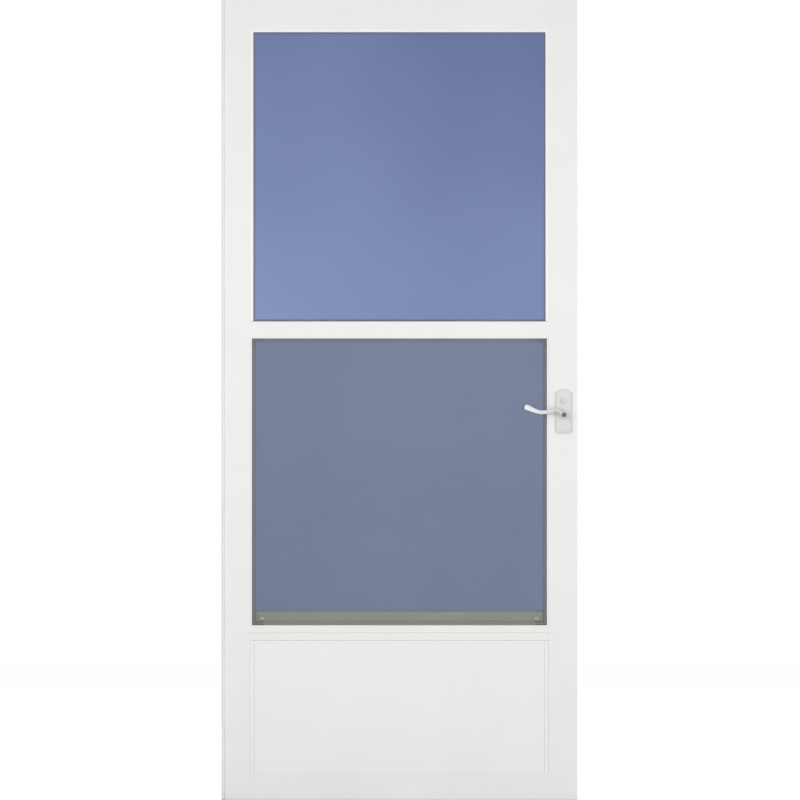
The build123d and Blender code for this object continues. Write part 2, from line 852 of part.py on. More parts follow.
with BuildPart() as outer_lever:
    with BuildSketch(Plane.XZ.offset(-arm_back)):
        with BuildLine():
            Spline(*[beside_hub(offset) for offset in wave_outline], periodic=True)
        make_face()
    extrude(amount=arm_depth)
    chamfer(outer_lever.faces().sort_by(Axis.Y)[0].edges(), arm_bevel)
    bar_on_y(handle_x, hub_front, hub_back, handle_z, hub_radius)
    chamfer(outer_lever.faces().sort_by(Axis.Y)[0].edges(), hub_bevel)
    bar_on_y(handle_x, hub_back, leaf_front - neck_end, handle_z, neck_radius)
outer_lever.part.label = "outer_lever"
export_step(outer_lever.part, "parts/outer_lever.step")

with BuildPart() as inner_lever:
    add(outer_lever.part.mirror(Plane.XZ.offset(-mid_y)))
inner_lever.part.label = "inner_lever"
export_step(inner_lever.part, "parts/inner_lever.step")

# Square spindle between the two necks
with BuildPart() as spindle:
    block(
        handle_x - spindle_side / 2,
        handle_x + spindle_side / 2,
        leaf_front - neck_end,
        leaf_back + neck_end,
        handle_z - spindle_side / 2,
        handle_z + spindle_side / 2,
    )
spindle.part.label = "spindle"
export_step(spindle.part, "parts/spindle.step")
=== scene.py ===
"""Looks of the storm door: finishes, woven screen, lever set, beads, screws, light and camera.

Everything is in the shared frame, in metres: X across the doorway from the hinge side, Y from
outside to inside, Z up from the sill.
"""

from __future__ import annotations

import json
import logging
import math
from dataclasses import dataclass, field
from enum import Enum

import bpy
import numpy as np
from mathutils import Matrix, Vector


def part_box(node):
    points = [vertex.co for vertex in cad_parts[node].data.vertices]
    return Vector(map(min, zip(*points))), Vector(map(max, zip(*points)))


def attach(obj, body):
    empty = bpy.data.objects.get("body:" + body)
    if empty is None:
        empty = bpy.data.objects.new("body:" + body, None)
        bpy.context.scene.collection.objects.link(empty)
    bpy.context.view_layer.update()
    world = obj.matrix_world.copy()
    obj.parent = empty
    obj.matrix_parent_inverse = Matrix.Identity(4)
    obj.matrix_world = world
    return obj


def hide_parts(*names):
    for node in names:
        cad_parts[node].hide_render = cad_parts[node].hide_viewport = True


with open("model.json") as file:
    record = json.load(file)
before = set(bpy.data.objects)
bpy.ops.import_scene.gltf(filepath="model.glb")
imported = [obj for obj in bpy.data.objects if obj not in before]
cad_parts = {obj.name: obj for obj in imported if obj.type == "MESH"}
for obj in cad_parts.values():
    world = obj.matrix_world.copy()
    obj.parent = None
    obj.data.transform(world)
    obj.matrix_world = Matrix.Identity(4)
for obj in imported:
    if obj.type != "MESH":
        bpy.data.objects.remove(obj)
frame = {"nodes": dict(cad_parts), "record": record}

LOG = logging.getLogger("storm_door")
Colour = tuple[float, float, float]
MM = 0.001

# Most values of a noise texture lie between these two.
NOISE_SPAN = (0.3, 0.7)

# Edges of turned pieces under this angle, in degrees, are shaded smooth.
TURNED_SMOOTH = 35.0


class Slot(str, Enum):
    """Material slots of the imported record."""

    RAIL = "rail_white"
    LEAF = "leaf_white"
    PANEL = "panel_white"
    BEAD = "bead_white"
    SASH = "sash_white"
    SEAL = "seal_vinyl"
    VINYL = "dark_vinyl"
    GLASS = "clear_glass"
    SCREEN_FRAME = "screen_frame_grey"
    SCREEN = "screen_cloth"
    STEEL = "bright_steel"
    HANDLE = "handle_white"


class Body(str, Enum):
    """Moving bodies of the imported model."""

    FRAME = "frame"
    LEAF = "leaf"
    LEVER = "lever"


class Facing(Enum):
    """Directions that a round piece can face, as (axis index, sign)."""

    OUTSIDE = (1, -1.0)
    INSIDE = (1, 1.0)
    LATCH_SIDE = (0, 1.0)
    HINGE_SIDE = (0, -1.0)
    DOWN = (2, -1.0)


# Node building


class Graph:
    """A thin wrapper that adds and links nodes in one node tree."""

    def __init__(self, tree: bpy.types.NodeTree) -> None:
        """Wraps a tree.

        Args:
            tree: node tree of a material, a world or a group.
        """
        self.tree = tree

    def node(self, kind: str, **settings: object) -> bpy.types.Node:
        """Adds a node.

        Args:
            kind: Blender's type name of the node.
            **settings: properties to set on it.

        Returns:
            The new node.
        """
        made = self.tree.nodes.new(kind)
        for name, value in settings.items():
            setattr(made, name, value)
        return made

    def link(self, source: bpy.types.NodeSocket, target: bpy.types.NodeSocket) -> None:
        """Links two sockets.

        Args:
            source: an output socket.
            target: an input socket.
        """
        self.tree.links.new(source, target)

    def feed(self, node: bpy.types.Node, values: dict[str | int, object]) -> None:
        """Links or sets inputs of a node.

        Args:
            node: the node.
            values: a socket, a number or a colour for each input, by name or index.
        """
        for key, value in values.items():
            target = node.inputs[key]
            if isinstance(value, bpy.types.NodeSocket):
                self.link(value, target)
            else:
                target.default_value = (*value, 1.0) if isinstance(value, tuple) else value

    def math(self, operation: str, first: object, second: object = 0.0) -> bpy.types.NodeSocket:
        """Adds a math node.

        Args:
            operation: name of the operation.
            first: a socket or a number.
            second: a socket or a number.

        Returns:
            The value socket.
        """
        made = self.node("ShaderNodeMath", operation=operation)
        self.feed(made, {0: first, 1: second})
        return made.outputs[0]

    def mix(self, factor: object, first: object, second: object) -> bpy.types.NodeSocket:
        """Mixes two colours.

        Args:
            factor: a socket or a number.
            first: colour at factor 0, as a socket or a triple.
            second: colour at factor 1, as a socket or a triple.

        Returns:
            The colour socket.
        """
        made = self.node("ShaderNodeMix", data_type="RGBA")
        self.feed(made, {0: factor, 6: first, 7: second})
        return made.outputs[2]

    def ramp(self, value: bpy.types.NodeSocket, low: float, high: float,
             to: tuple[float, float]) -> bpy.types.NodeSocket:
        """Maps a value linearly and clamps it.

        Args:
            value: the incoming value.
            low: value that gives the first end.
            high: value that gives the second end.
            to: the two ends.

        Returns:
            The mapped value.
        """
        made = self.node("ShaderNodeMapRange")
        self.feed(made, {"Value": value, "From Min": low, "From Max": high,
                         "To Min": to[0], "To Max": to[1]})
        return made.outputs["Result"]

    def coordinates(self) -> bpy.types.NodeSocket:
        """Adds the object coordinates.

        Returns:
            The vector socket.
        """
        return self.node("ShaderNodeTexCoord").outputs["Object"]

    def along(self, vector: bpy.types.NodeSocket, axis: str) -> bpy.types.NodeSocket:
        """Takes one part of a vector.

        Args:
            vector: the vector socket.
            axis: X, Y or Z.

        Returns:
            The value socket.
        """
        split = self.node("ShaderNodeSeparateXYZ")
        self.link(vector, split.inputs[0])
        return split.outputs[axis]

    def noise(self, vector: bpy.types.NodeSocket, **values: object) -> bpy.types.Node:
        """Adds a noise texture.

        Args:
            vector: where it is read.
            **values: its inputs by name.

        Returns:
            The noise node.
        """
        made = self.node("ShaderNodeTexNoise")
        self.feed(made, {"Vector": vector, **values})
        return made


@dataclass
class SharedEffects:
    """Node groups that several finishes use, each built once."""

    broad_scale: float = 5.0
    broad_detail: float = 4.0
    fine_detail: float = 3.0
    dust_height: float = 0.16
    dust_falloff: float = 2.0
    bevel_samples: int = 6
    edge_turn: tuple[float, float] = (0.995, 0.8)

    def __post_init__(self) -> None:
        """Builds the groups."""
        self.patina = self._patina()
        self.edges = self._edges()

    def _patina(self) -> bpy.types.NodeTree:
        """Builds broad mottling, fine grain and the dust that gathers near the sill.

        Returns:
            Group with a Vector and a Grain Scale input, and Broad, Fine and Dust outputs.
        """
        tree = bpy.data.node_groups.new("patina", "ShaderNodeTree")
        tree.interface.new_socket("Vector", in_out="INPUT", socket_type="NodeSocketVector")
        tree.interface.new_socket("Grain Scale", in_out="INPUT", socket_type="NodeSocketFloat")
        for name in ("Broad", "Fine", "Dust"):
            tree.interface.new_socket(name, in_out="OUTPUT", socket_type="NodeSocketFloat")
        graph = Graph(tree)
        source = graph.node("NodeGroupInput")
        sink = graph.node("NodeGroupOutput")
        spot = source.outputs["Vector"]
        broad = graph.noise(spot, Scale=self.broad_scale, Detail=self.broad_detail)
        grain = source.outputs["Grain Scale"]
        fine = graph.noise(spot, Scale=grain, Detail=self.fine_detail)
        lowness = graph.ramp(graph.along(spot, "Z"), 0.0, self.dust_height, (1.0, 0.0))
        fallen = graph.math("POWER", lowness, self.dust_falloff)
        dust = graph.math("MULTIPLY", fallen, broad.outputs[0])
        graph.feed(sink, {"Broad": broad.outputs[0], "Fine": fine.outputs[0], "Dust": dust})
        return tree

    def _edges(self) -> bpy.types.NodeTree:
        """Builds a soft rounded normal and a mask of the sharp edges.

        Returns:
            Group with a Radius input, and Normal and Mask outputs.
        """
        tree = bpy.data.node_groups.new("soft_edges", "ShaderNodeTree")
        tree.interface.new_socket("Radius", in_out="INPUT", socket_type="NodeSocketFloat")
        tree.interface.new_socket("Normal", in_out="OUTPUT", socket_type="NodeSocketVector")
        tree.interface.new_socket("Mask", in_out="OUTPUT", socket_type="NodeSocketFloat")
        graph = Graph(tree)
        source = graph.node("NodeGroupInput")
        sink = graph.node("NodeGroupOutput")
        bevel = graph.node("ShaderNodeBevel", samples=self.bevel_samples)
        graph.link(source.outputs["Radius"], bevel.inputs["Radius"])
        shape = graph.node("ShaderNodeNewGeometry")
        turn = graph.node("ShaderNodeVectorMath", operation="DOT_PRODUCT")
        graph.feed(turn, {0: bevel.outputs[0], 1: shape.outputs["True Normal"]})
        mask = graph.ramp(turn.outputs["Value"], *self.edge_turn, (0.0, 1.0))
        graph.feed(sink, {"Normal": bevel.outputs[0], "Mask": mask})
        return tree

    def add_patina(self, graph: Graph, spot: bpy.types.NodeSocket,
                   grain_scale: float) -> bpy.types.Node:
        """Adds the patina group to a material.

        Args:
            graph: graph of the material.
            spot: coordinates that it is read on.
            grain_scale: scale of the fine grain.

        Returns:
            The group node.
        """
        patina = graph.node("ShaderNodeGroup", node_tree=self.patina)
        graph.feed(patina, {"Grain Scale": grain_scale, "Vector": spot})
        return patina

    def add_edges(self, graph: Graph, radius: float) -> bpy.types.Node:
        """Adds the soft edges group to a material.

        Args:
            graph: graph of the material.
            radius: radius of the rounding.

        Returns:
            The group node.
        """
        edges = graph.node("ShaderNodeGroup", node_tree=self.edges)
        graph.feed(edges, {"Radius": radius})
        return edges


def principled(name: str) -> tuple[bpy.types.Material, Graph, bpy.types.Node]:
    """Makes a material with a Principled shader.

    Args:
        name: name of the material.

    Returns:
        The material, its graph and its shader node.
    """
    material = bpy.data.materials.new(name)
    material.use_nodes = True
    graph = Graph(material.node_tree)
    shader = next(n for n in material.node_tree.nodes if n.type == "BSDF_PRINCIPLED")
    return material, graph, shader


@dataclass(frozen=True)
class CoatFinish:
    """Paint, powder coat or vinyl: a mottled colour with soft edges, a painted highlight on those
    edges and a fine grain.

    Where a painted-light colour is given, it takes over at the low end of its range along its axis:
    painted light on one end of the part.
    """

    name: str
    colour: Colour
    shade: Colour
    # edge is the lighter colour of the painted highlight on sharp edges.
    edge: Colour
    dust: Colour = (0.47, 0.44, 0.40)
    roughness: tuple[float, float] = (0.34, 0.46)
    grain_scale: float = 900.0
    grain_depth: float = 0.00004
    edge_radius: float = 0.0008
    dust_amount: float = 0.1
    # Colour, axis and range of the painted light on one end of the part.
    painted_light_colour: Colour | None = None
    painted_light_axis: str = "Z"
    painted_light_range: tuple[float, float] = (0.0, 1.0)
    mottle_span: tuple[float, float] = (0.35, 0.7)
    edge_highlight_share: float = 0.6

    def build(self, effects: SharedEffects) -> bpy.types.Material:
        """Builds the material.

        Args:
            effects: the shared groups.

        Returns:
            The material.
        """
        material, graph, shader = principled(self.name)
        spot = graph.coordinates()
        patina = effects.add_patina(graph, spot, self.grain_scale)
        edges = effects.add_edges(graph, self.edge_radius)
        broad = patina.outputs["Broad"]
        tint = graph.mix(graph.ramp(broad, *self.mottle_span, (0.0, 1.0)), self.colour, self.shade)
        # Painted highlight: sharp edges are mixed towards the lighter edge colour, as if they
        # caught the light.
        edge_highlight_mask = graph.math("MULTIPLY", edges.outputs["Mask"], self.edge_highlight_share)
        tint = graph.mix(edge_highlight_mask, tint, self.edge)
        fallen = graph.math("MULTIPLY", patina.outputs["Dust"], self.dust_amount)
        tint = graph.mix(fallen, tint, self.dust)
        # Painted light: one end of the part along the axis takes a lighter colour, as if light fell
        # on it.
        if self.painted_light_colour:
            low = graph.ramp(graph.along(spot, self.painted_light_axis), *self.painted_light_range, (1.0, 0.0))
            tint = graph.mix(low, tint, self.painted_light_colour)
        gloss = graph.ramp(broad, *NOISE_SPAN, self.roughness)
        bump = graph.node("ShaderNodeBump")
        graph.feed(bump, {"Distance": self.grain_depth, "Height": patina.outputs["Fine"],
                          "Normal": edges.outputs["Normal"]})
        graph.feed(shader, {"Base Color": tint, "Roughness": gloss, "Normal": bump.outputs[0]})
        return material


@dataclass(frozen=True)
class MetalFinish:
    """Brushed bare metal."""

    name: str
    colour: Colour
    shade: Colour
    roughness: tuple[float, float] = (0.25, 0.42)
    brush_stretch: float = 14.0
    grain_scale: float = 260.0
    edge_radius: float = 0.0004

    def build(self, effects: SharedEffects) -> bpy.types.Material:
        """Builds the material.

        Args:
            effects: the shared groups.

        Returns:
            The material.
        """
        material, graph, shader = principled(self.name)
        stretch = graph.node("ShaderNodeMapping")
        stretch.inputs["Scale"].default_value = (self.brush_stretch, self.brush_stretch, 1.0)
        graph.link(graph.coordinates(), stretch.inputs["Vector"])
        patina = effects.add_patina(graph, stretch.outputs[0], self.grain_scale)
        edges = effects.add_edges(graph, self.edge_radius)
        tint = graph.mix(patina.outputs["Broad"], self.colour, self.shade)
        gloss = graph.ramp(patina.outputs["Fine"], *NOISE_SPAN, self.roughness)
        graph.feed(shader, {"Base Color": tint, "Roughness": gloss, "Metallic": 1.0,
                            "Normal": edges.outputs["Normal"]})
        return material


@dataclass(frozen=True)
class GlassFinish:
    """Tinted clear glass with a painted reflection: its colour drifts from the lower hinge side to
    the upper latch side.
    """

    name: str
    low_tint_and_reflection: Colour
    high_tint_and_reflection: Colour
    bottom: float
    top: float
    sides: tuple[float, float] = (0.08, 0.83)
    side_share: float = 0.3
    drift: float = 0.12
    cloud_scale: float = 2.2
    cloud_detail: float = 1.0
    roughness: tuple[float, float] = (0.0, 0.012)
    index: float = 1.45

    def build(self) -> bpy.types.Material:
        """Builds the material.

        Returns:
            The material.
        """
        material, graph, shader = principled(self.name)
        spot = graph.coordinates()
        # Painted reflection: the colour changes with height and across the glass, as a reflection
        # of the sky would.
        up_share = (0.0, 1.0 - self.side_share)
        reflection_rise = graph.ramp(graph.along(spot, "Z"), self.bottom, self.top, up_share)
        across = graph.ramp(graph.along(spot, "X"), *self.sides, (0.0, self.side_share))
        noise = graph.noise(spot, Scale=self.cloud_scale, Detail=self.cloud_detail).outputs[0]
        cloud = graph.ramp(noise, *NOISE_SPAN, (-self.drift, self.drift))
        reflection_blend = graph.math("ADD", graph.math("ADD", reflection_rise, across), cloud)
        clamped = graph.ramp(reflection_blend, 0.0, 1.0, (0.0, 1.0))
        tint = graph.mix(clamped, self.low_tint_and_reflection, self.high_tint_and_reflection)
        gloss = graph.ramp(noise, *NOISE_SPAN, self.roughness)
        graph.feed(shader, {"Base Color": tint, "Roughness": gloss, "IOR": self.index,
                            "Transmission Weight": 1.0})
        return material


WHITE: Colour = (1.0, 1.0, 1.0)
# Lighter colour for the painted highlight on the edges of the white parts.
WHITE_EDGE_HIGHLIGHT: Colour = (0.93, 0.93, 0.93)
VINYL_TINTS = ((0.155, 0.17, 0.235), (0.135, 0.15, 0.21), (0.18, 0.195, 0.26))
COATS: dict[Slot, CoatFinish] = {
    Slot.RAIL: CoatFinish("rail_paint", (0.83, 0.825, 0.815), (0.80, 0.795, 0.785), WHITE_EDGE_HIGHLIGHT),
    Slot.LEAF: CoatFinish("leaf_paint", (0.845, 0.84, 0.83), (0.825, 0.82, 0.81), WHITE_EDGE_HIGHLIGHT),
    Slot.PANEL: CoatFinish("panel_paint", (0.86, 0.855, 0.845), (0.845, 0.838, 0.825), WHITE_EDGE_HIGHLIGHT),
    Slot.BEAD: CoatFinish(
        "bead_vinyl", (0.89, 0.89, 0.89), (0.87, 0.87, 0.87), WHITE_EDGE_HIGHLIGHT, roughness=(0.2, 0.3)),
    # Lower sash: greyer and greener than the other white parts, as painted shade for its place
    # behind the screen.
    Slot.SASH: CoatFinish(
        "sash_paint_painted_shade", (0.56, 0.60, 0.575), (0.53, 0.57, 0.545), (0.62, 0.66, 0.64)),
    Slot.SEAL: CoatFinish(
        "seal_vinyl", (0.50, 0.50, 0.49), (0.45, 0.45, 0.44), (0.52, 0.52, 0.51),
        roughness=(0.55, 0.7), grain_depth=0.0001),
    Slot.VINYL: CoatFinish(
        "gasket_vinyl", *VINYL_TINTS, roughness=(0.5, 0.65), grain_depth=0.0001, dust_amount=0.6),
    Slot.SCREEN_FRAME: CoatFinish(
        "screen_frame_paint", (0.16, 0.17, 0.20), (0.13, 0.14, 0.17), (0.22, 0.23, 0.25)),
    Slot.SCREEN: CoatFinish(
        "screen_thread", (0.20, 0.19, 0.13), (0.18, 0.17, 0.11), (0.21, 0.20, 0.14),
        roughness=(0.5, 0.65), edge_radius=0.00003, grain_depth=0.00001),
    # Plates, collars and plate screws: greyer than the other white parts, as painted shade.
    Slot.HANDLE: CoatFinish(
        "handle_paint_painted_shade", (0.715, 0.72, 0.705), (0.69, 0.695, 0.68), (0.80, 0.80, 0.79),
        roughness=(0.22, 0.3), grain_depth=0.00001, edge_radius=0.0012),
}
STEEL = MetalFinish("brushed_steel", (0.80, 0.80, 0.79), (0.70, 0.70, 0.69))
# Dark screw in the lever's hub: its dark colour is painted shade, for the shadow under the hub.
HUB_SCREW_PAINTED_SHADE = MetalFinish("hub_screw_painted_shade", (0.20, 0.20, 0.20), (0.14, 0.14, 0.14))
# Lever: darker than the plates as painted shade on the arm, and lighter towards its tip as a
# painted highlight.
LEVER_COAT = CoatFinish(
    "lever_paint_painted_shade_and_highlight", (0.60, 0.61, 0.61), (0.57, 0.58, 0.58), (0.72, 0.72, 0.72),
    roughness=(0.2, 0.28), grain_depth=0.00001, edge_radius=0.0012,
    painted_light_colour=(0.80, 0.81, 0.84), painted_light_axis="X", painted_light_range=(0.805, 0.862))
UPPER_GLASS = GlassFinish(
    "upper_glass_painted_reflection", (0.218, 0.282, 0.499), (0.105, 0.146, 0.322), bottom=1.232, top=1.975)
LOWER_GLASS = GlassFinish(
    "lower_glass_painted_reflection", (0.150, 0.205, 0.385), (0.175, 0.232, 0.425), bottom=0.449, top=1.187)
# The screen frame's bottom bar takes a lighter khaki colour: painted light where its face catches
# the light, while the other bars keep the shaded colour.
SCREEN_RAIL = CoatFinish(
    "screen_rail_paint", (0.16, 0.18, 0.22), (0.13, 0.15, 0.19), (0.22, 0.23, 0.25),
    painted_light_colour=(0.222, 0.218, 0.20), painted_light_range=(0.47, 0.474))
# The lower gasket's bottom part takes a lighter grey: painted light, which covers the shade along
# the bottom of the lower lite.
LOWER_GASKET = CoatFinish(
    "lower_gasket_vinyl", *VINYL_TINTS, roughness=(0.5, 0.65),
    painted_light_colour=(0.36, 0.38, 0.38), painted_light_range=(0.492, 0.50))
CORNER_KEY = CoatFinish(
    "corner_key_plastic", (0.13, 0.135, 0.12), (0.11, 0.115, 0.10), (0.18, 0.18, 0.17),
    roughness=(0.5, 0.6))
TAB_GREY = CoatFinish(
    "pull_tab_plastic", (0.33, 0.35, 0.35), (0.30, 0.32, 0.32), (0.40, 0.41, 0.41),
    roughness=(0.4, 0.5))
# Black for the painted shade of recesses: the screw crosses and the keyway.
RECESS_PAINTED_SHADE = CoatFinish(
    "recess_painted_shade", (0.015, 0.015, 0.016), (0.01, 0.01, 0.011), (0.03, 0.03, 0.03))


class Palette:
    """All materials of the door, built once."""

    def __init__(self) -> None:
        """Builds every finish."""
        effects = SharedEffects()
        self.by_slot = {slot: finish.build(effects) for slot, finish in COATS.items()}
        self.by_slot[Slot.STEEL] = STEEL.build(effects)
        self.by_slot[Slot.GLASS] = UPPER_GLASS.build()
        self.lower_glass = LOWER_GLASS.build()
        self.screen_rail = SCREEN_RAIL.build(effects)
        self.lower_gasket = LOWER_GASKET.build(effects)
        self.corner_key = CORNER_KEY.build(effects)
        self.tab = TAB_GREY.build(effects)
        self.recess_shade = RECESS_PAINTED_SHADE.build(effects)
        self.hub_screw_shade = HUB_SCREW_PAINTED_SHADE.build(effects)
        self.lever = LEVER_COAT.build(effects)

    @staticmethod
    def dress(obj: bpy.types.Object, material: bpy.types.Material) -> None:
        """Gives an object one material.

        Args:
            obj: the object.
            material: its material.
        """
        obj.data.materials.clear()
        obj.data.materials.append(material)


# Surfaces


@dataclass
class Surface:
    """Vertices and faces of one closed surface."""

    vertices: np.ndarray
    faces: list[list[int]] = field(default_factory=list)

    def joined(self, other: Surface) -> Surface:
        """Puts two surfaces in one.

        Args:
            other: the surface to add.

        Returns:
            The joined surface.
        """
        offset = len(self.vertices)
        moved = [[index + offset for index in face] for face in other.faces]
        return Surface(np.vstack((self.vertices, other.vertices)), self.faces + moved)

    def mirrored(self, plane_y: float) -> Surface:
        """Mirrors the surface in a plane across Y and keeps its faces outward.

        Args:
            plane_y: place of the plane.

        Returns:
            The mirrored surface.
        """
        flipped = self.vertices * (1.0, -1.0, 1.0) + (0.0, 2.0 * plane_y, 0.0)
        return Surface(flipped, [face[::-1] for face in self.faces])


def boxes(low: np.ndarray, high: np.ndarray) -> Surface:
    """Boxes: corner (a, b, c) = low + (a, b, c) * (high - low), with a, b and c each 0 or 1.

    Args:
        low: lowest corners, one row for each box.
        high: highest corners, one row for each box.

    Returns:
        All the boxes as one surface.
    """
    low, high = np.atleast_2d(low), np.atleast_2d(high)
    unit = np.array([[a, b, c] for a in (0, 1) for b in (0, 1) for c in (0, 1)], float)
    corners = low[:, None, :] + unit[None] * (high - low)[:, None, :]
    quads = np.array([[0, 1, 3, 2], [4, 6, 7, 5], [0, 4, 5, 1],
                      [2, 3, 7, 6], [0, 2, 6, 4], [1, 5, 7, 3]])
    faces = quads[None] + 8 * np.arange(len(low))[:, None, None]
    return Surface(corners.reshape(-1, 3), faces.reshape(-1, 4).tolist())


def xyz(x: np.ndarray | float, y: np.ndarray | float, z: np.ndarray | float) -> np.ndarray:
    """Puts coordinates together, where a single number holds for all points.

    Args:
        x: x of the points.
        y: y of the points.
        z: z of the points.

    Returns:
        One row for each point.
    """
    return np.stack(np.broadcast_arrays(x, y, z), -1)


def middle(node: str) -> tuple[float, float, float]:
    """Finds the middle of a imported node's box.

    Args:
        node: name of the node.

    Returns:
        The point.
    """
    return tuple((low + high) / 2 for low, high in zip(*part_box(node)))


def loft(rings: np.ndarray) -> Surface:
    """Skin over rings: face (i, j) joins points j and j + 1 of rings i and i + 1, with end caps.

    Args:
        rings: points as (ring, point, 3), turning so that the faces look outward.

    Returns:
        The closed surface.
    """
    count, around = rings.shape[:2]
    i, j = np.meshgrid(np.arange(count - 1) * around, np.arange(around), indexing="ij")
    k = (j + 1) % around
    sides = np.stack((i + j, i + k, i + around + k, i + around + j), -1)
    last = (count - 1) * around
    caps = [list(range(around))[::-1], [last + n for n in range(around)]]
    return Surface(rings.reshape(-1, 3), sides.reshape(-1, 4).tolist() + caps)


def turned(profile: np.ndarray, centre: tuple[float, float, float], facing: Facing,
           around: int = 32) -> Surface:
    """Turned piece: point = centre + r (cos t e1 + sin t e2) + h n, with (r, h) along the profile.

    Args:
        profile: rows of radius and height, from the seat outwards.
        centre: point on the axis at height 0.
        facing: direction of the axis.
        around: points round each ring.

    Returns:
        The closed surface.
    """
    axis, sign = facing.value
    normal = np.zeros(3)
    normal[axis] = sign
    first = np.roll(np.array([1.0, 0.0, 0.0]), axis + 1)
    second = np.cross(normal, first)
    angle = np.linspace(0.0, 2.0 * math.pi, around, endpoint=False)
    spokes = np.cos(angle)[:, None] * first + np.sin(angle)[:, None] * second
    rings = profile[:, None, None, 0] * spokes[None, None] + profile[:, None, None, 1] * normal
    return loft(rings.reshape(len(profile), around, 3) + np.array(centre))


def mitred(profile: np.ndarray, low: tuple[float, float], high: tuple[float, float]) -> Surface:
    """Frame with mitred corners: a closed (inset, y) profile carried round a rectangle.

    Corner points of profile row (d, y) are (low_x + d, y, low_z + d) and so on round it.

    Args:
        profile: rows of inset and y, in order round the section.
        low: lowest x and z.
        high: highest x and z.

    Returns:
        The closed surface.
    """
    inset, depth = profile[:, 0], profile[:, 1]
    x = np.array((low[0], high[0], high[0], low[0]))[:, None] + np.outer((1, -1, -1, 1), inset)
    z = np.array((low[1], low[1], high[1], high[1]))[:, None] + np.outer((1, 1, -1, -1), inset)
    rings = xyz(x, depth, z)
    count, around = x.shape
    i, j = np.meshgrid(np.arange(count), np.arange(around), indexing="ij")
    n, k = (i + 1) % count, (j + 1) % around
    quads = np.stack((i * around + j, n * around + j, n * around + k, i * around + k), -1)
    return Surface(rings.reshape(-1, 3), quads.reshape(-1, 4).tolist())


def smooth_through(points: np.ndarray, steps: int) -> np.ndarray:
    """Catmull-Rom curve through the points, with a, b, c, d four in a row and u from 0 to 1.

    p(u) = 0.5 (2b + (c - a) u + (2a - 5b + 4c - d) u^2 + (3b - a - 3c + d) u^3).

    Args:
        points: rows to pass through.
        steps: points for each span.

    Returns:
        Rows along the curve.
    """
    padded = np.vstack((2 * points[0] - points[1], points, 2 * points[-1] - points[-2]))
    a, b, c, d = padded[:-3], padded[1:-2], padded[2:-1], padded[3:]
    u = np.linspace(0.0, 1.0, steps, endpoint=False)[None, :, None]
    a, b, c, d = a[:, None], b[:, None], c[:, None], d[:, None]
    squared, cubed = 2 * a - 5 * b + 4 * c - d, 3 * b - a - 3 * c + d
    curve = 0.5 * (2 * b + (c - a) * u + squared * u**2 + cubed * u**3)
    return np.vstack((curve.reshape(-1, points.shape[1]), points[-1]))


def place(name: str, surface: Surface, body: Body, material: bpy.types.Material,
          replaces: tuple[str, ...] = (), smooth: float = 0.0) -> bpy.types.Object:
    """Makes an object of a surface, gives it its finish and fastens it to its body.

    Args:
        name: name of the piece.
        surface: its surface in the shared frame.
        body: body that it rides on.
        material: its material.
        replaces: solid nodes that it stands for.
        smooth: angle in degrees under which edges are shaded smooth.

    Returns:
        The object.
    """
    mesh = bpy.data.meshes.new(name)
    mesh.from_pydata(surface.vertices.tolist(), [], surface.faces)
    mesh.update()
    obj = bpy.data.objects.new(name, mesh)
    bpy.context.scene.collection.objects.link(obj)
    if smooth:
        mesh.shade_smooth()
        mesh.set_sharp_from_angle(angle=math.radians(smooth))
    mesh.materials.append(material)
    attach(obj, body.value)
    if replaces:
        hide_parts(*replaces)
    LOG.info("%s: %d faces on body %s", name, len(mesh.polygons), body.value)
    return obj


# Assemblies


@dataclass
class CarriedOverParts:
    """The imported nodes, which keep their shape and take a procedural finish by slot."""

    palette: Palette

    def build(self) -> None:
        """Dresses every node."""
        slots = {part["node"]: Slot(part["material_slot"]) for part in frame["record"]["subparts"]}
        special = {
            "lower_glass": self.palette.lower_glass,
            "lower_gasket": self.palette.lower_gasket,
            "screen_rails": self.palette.screen_rail,
            "bottom_expander": self.palette.by_slot[Slot.LEAF],
        }
        for name, obj in frame["nodes"].items():
            material = special.get(name, self.palette.by_slot[slots[name]])
            self.palette.dress(obj, material)
            LOG.info("%s: finish %s", name, material.name)


@dataclass
class InsectScreen:
    """Woven screen: two layers of thin threads in the screen frame."""

    palette: Palette
    thread: float = 0.28 * MM
    upright_pitch: float = 1.41 * MM
    level_pitch: float = 1.59 * MM

    def build(self) -> None:
        """Builds the threads over the whole opening of the screen frame."""
        low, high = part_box("insect_screen")
        mid = (low.y + high.y) / 2
        half = self.thread / 2
        x = np.arange(low.x + self.upright_pitch, high.x, self.upright_pitch)
        z = np.arange(low.z + self.level_pitch, high.z, self.level_pitch)
        threads = boxes(np.vstack((xyz(x - half, mid - self.thread, low.z),
                                   xyz(low.x, mid, z - half))),
                        np.vstack((xyz(x + half, mid, high.z),
                                   xyz(high.x, mid + self.thread, z + half))))
        place("woven_screen", threads, Body.LEAF, self.palette.by_slot[Slot.SCREEN],
              replaces=("insect_screen",))


